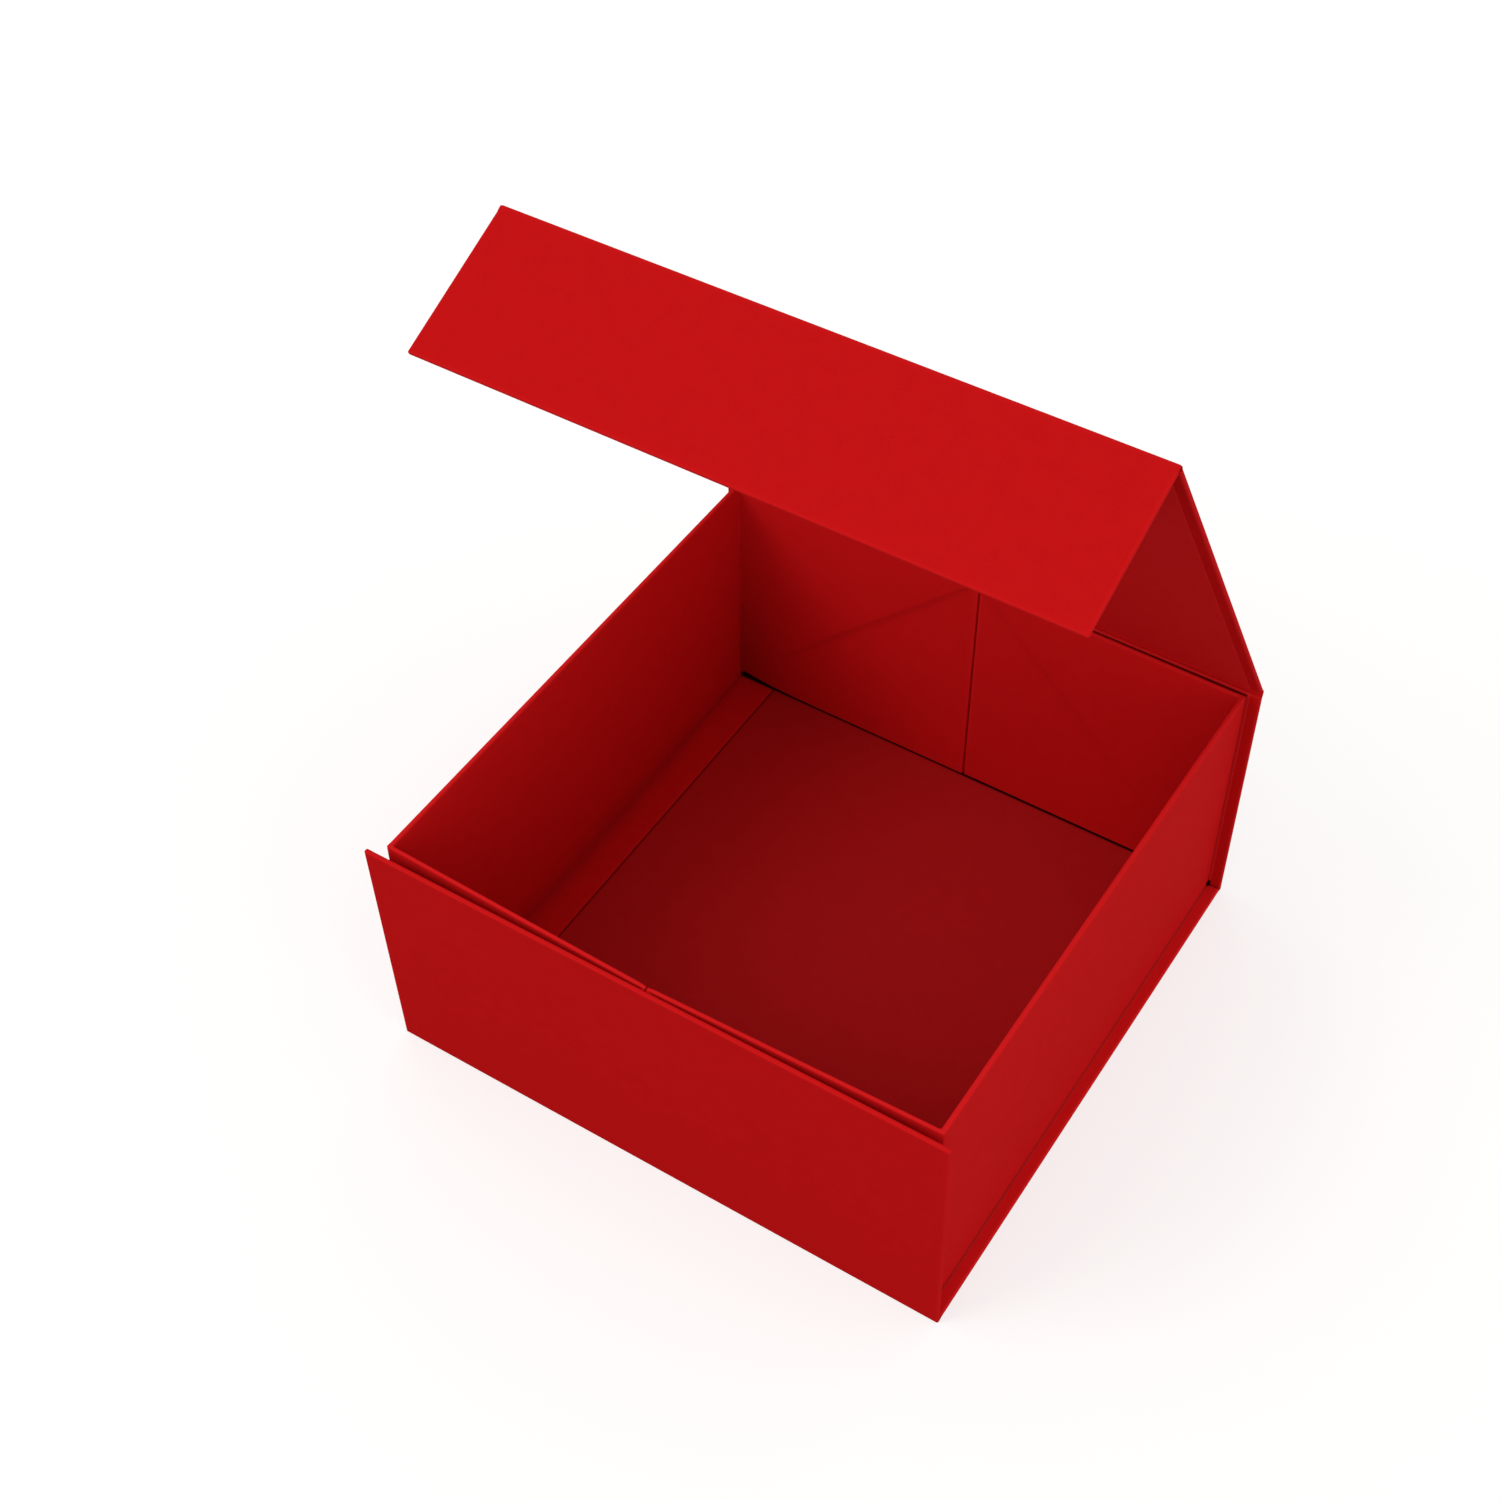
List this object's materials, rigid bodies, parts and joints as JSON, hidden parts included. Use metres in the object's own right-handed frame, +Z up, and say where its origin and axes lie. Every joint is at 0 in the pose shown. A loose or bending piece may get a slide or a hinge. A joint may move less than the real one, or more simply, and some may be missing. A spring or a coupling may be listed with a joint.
{
  "type": "folding gift box",
  "caption": "Red paper-covered greyboard gift box that folds flat, with a hinged lid and a flap held shut by magnets over the front.",
  "frame": {"origin": "middle of the base's underside, between the front and back fold lines", "axes": "+X to the box's right along the fold lines, +Y from the front panel to the back panel, +Z up"},
  "size_m": [0.22, 0.2208, 0.2946],
  "materials": {
    "red_cover_paper": "satin",
    "red_lining_paper": "matte",
    "greyboard": "matte",
    "magnet": "satin",
    "tape": "satin"
  },
  "bodies": {
    "base": {"base_wrap": "red_cover_paper", "base_board": "greyboard", "floor_liner": "red_lining_paper", "left_foot_strip": "red_lining_paper", "right_foot_strip": "red_lining_paper", "front_fold_paper": "red_cover_paper", "back_fold_paper": "red_cover_paper"},
    "front_panel": {"front_panel_wrap": "red_cover_paper", "front_panel_board": "greyboard", "front_panel_liner": "red_lining_paper", "front_panel_magnets": "magnet", "front_left_taped_wrap": "red_cover_paper", "front_left_taped_board": "greyboard", "front_left_tape": "tape", "front_right_taped_wrap": "red_cover_paper", "front_right_taped_board": "greyboard", "front_right_tape": "tape"},
    "back_panel": {"back_panel_wrap": "red_cover_paper", "back_panel_board": "greyboard", "back_panel_liner": "red_lining_paper", "back_left_taped_wrap": "red_cover_paper", "back_left_taped_board": "greyboard", "back_left_tape": "tape", "back_right_taped_wrap": "red_cover_paper", "back_right_taped_board": "greyboard", "back_right_tape": "tape"},
    "lid": {"lid_wrap": "red_cover_paper", "lid_board": "greyboard", "lid_liner": "red_lining_paper", "lid_fold_paper": "red_cover_paper"},
    "flap": {"flap_wrap": "red_cover_paper", "flap_board": "greyboard", "flap_liner": "red_lining_paper", "flap_magnets": "magnet", "flap_fold_paper": "red_cover_paper"},
    "left_wall": {"left_wall_wrap": "red_cover_paper", "left_wall_board": "greyboard", "front_left_corner_paper": "red_cover_paper", "back_left_corner_paper": "red_cover_paper"},
    "right_wall": {"right_wall_wrap": "red_cover_paper", "right_wall_board": "greyboard", "front_right_corner_paper": "red_cover_paper", "back_right_corner_paper": "red_cover_paper"},
    "front_left_gusset": {"front_left_hinged_wrap": "red_cover_paper", "front_left_hinged_board": "greyboard"},
    "front_right_gusset": {"front_right_hinged_wrap": "red_cover_paper", "front_right_hinged_board": "greyboard"},
    "back_left_gusset": {"back_left_hinged_wrap": "red_cover_paper", "back_left_hinged_board": "greyboard"},
    "back_right_gusset": {"back_right_hinged_wrap": "red_cover_paper", "back_right_hinged_board": "greyboard"}
  },
  "joints": [
    {"name": "lid_hinge", "type": "hinge", "parent": "back_panel", "child": "lid", "pos_m": [0, 0.10943, 0.1066], "axis": [1, 0, 0], "range_deg": [-122.1, 57.9], "deforming": ["lid_fold_paper"]},
    {"name": "flap_hinge", "type": "hinge", "parent": "lid", "child": "flap", "pos_m": [0, -0.00909, 0.29554], "axis": [1, 0, 0], "range_deg": [-82.1, 7.9], "deforming": ["flap_fold_paper"]},
    {"name": "end_panel_fold", "type": "hinge", "parent": "base", "child": "front_panel", "pos_m": [0, -0.1085, 0], "axis": [1, 0, 0], "range_deg": [0, 88.4], "deforming": ["front_fold_paper"]},
    {"name": "back_panel_fold", "type": "hinge", "parent": "base", "child": "back_panel", "pos_m": [0, 0.1085, 0], "axis": [-1, 0, 0], "range_deg": [0, 89.51], "deforming": ["back_fold_paper"]},
    {"name": "left_wall_fold", "type": "hinge", "parent": "base", "child": "left_wall", "pos_m": [-0.1033, 0, 0.0032], "axis": [0, 1, 0], "range_deg": [0, 90.01]},
    {"name": "right_wall_fold", "type": "hinge", "parent": "base", "child": "right_wall", "pos_m": [0.1033, 0, 0.0032], "axis": [0, -1, 0], "range_deg": [0, 90.01]},
    {"name": "front_left_gusset_fold", "type": "hinge", "parent": "left_wall", "child": "front_left_gusset", "pos_m": [-0.1052, -0.1062, 0], "axis": [0, 0, -1], "range_deg": [0, 88.45], "deforming": ["front_left_hinged_wrap", "front_left_hinged_board", "front_left_corner_paper"]},
    {"name": "front_right_gusset_fold", "type": "hinge", "parent": "right_wall", "child": "front_right_gusset", "pos_m": [0.1052, -0.1062, 0], "axis": [0, 0, 1], "range_deg": [0, 88.45], "deforming": ["front_right_hinged_wrap", "front_right_hinged_board", "front_right_corner_paper"]},
    {"name": "back_left_gusset_fold", "type": "hinge", "parent": "left_wall", "child": "back_left_gusset", "pos_m": [-0.1052, 0.1062, 0], "axis": [0, 0, 1], "range_deg": [0, 89.52], "deforming": ["back_left_hinged_wrap", "back_left_hinged_board", "back_left_corner_paper"]},
    {"name": "back_right_gusset_fold", "type": "hinge", "parent": "right_wall", "child": "back_right_gusset", "pos_m": [0.1052, 0.1062, 0], "axis": [0, 0, -1], "range_deg": [0, 89.52], "deforming": ["back_right_hinged_wrap", "back_right_hinged_board", "back_right_corner_paper"]}
  ],
  "couplings": [
    {"joint": "back_panel_fold", "follows": "end_panel_fold", "ratio": 1.0124},
    {"joint": "left_wall_fold", "follows": "end_panel_fold", "ratio": 1.0181},
    {"joint": "right_wall_fold", "follows": "end_panel_fold", "ratio": 1.0181},
    {"joint": "front_left_gusset_fold", "follows": "end_panel_fold", "ratio": 1.0005},
    {"joint": "front_right_gusset_fold", "follows": "end_panel_fold", "ratio": 1.0005},
    {"joint": "back_left_gusset_fold", "follows": "end_panel_fold", "ratio": 1.0126},
    {"joint": "back_right_gusset_fold", "follows": "end_panel_fold", "ratio": 1.0126}
  ]
}
